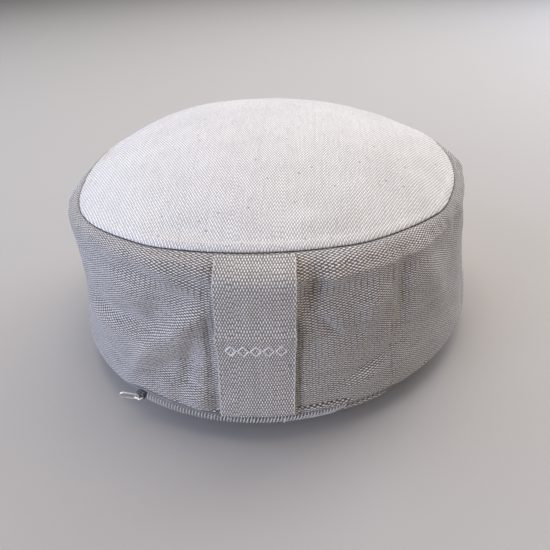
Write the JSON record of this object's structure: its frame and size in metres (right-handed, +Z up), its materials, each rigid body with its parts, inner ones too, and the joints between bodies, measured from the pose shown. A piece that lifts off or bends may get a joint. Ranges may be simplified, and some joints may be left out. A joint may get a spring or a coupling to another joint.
{
  "type": "zafu meditation cushion",
  "caption": "Round, firmly filled canvas floor cushion with a crowned top, flat side band, front carrying strap and zip.",
  "frame": {"origin": "middle of the flat foot of the base, on the surface that the cushion rests on", "axes": "+Z up out of the crown, -Y towards the front with the strap, +X to the right seen from the front"},
  "size_m": [0.3233, 0.3397, 0.1656],
  "materials": {
    "canvas": "coarse natural cotton and linen canvas, matte",
    "strap": "coarse canvas strap, matte",
    "tape": "fine woven zip tape, matte",
    "coil": "satin polyester coil",
    "metal": "nickelled zinc and wire"
  },
  "bodies": {
    "root": {"top_panel": "canvas", "side_wall": "canvas", "base_panel": "canvas", "handle_strap": "strap", "zip_tape": "tape", "zip_coil": "coil", "zip_slider": "metal", "zip_pull": "metal"}
  },
  "joints": []
}
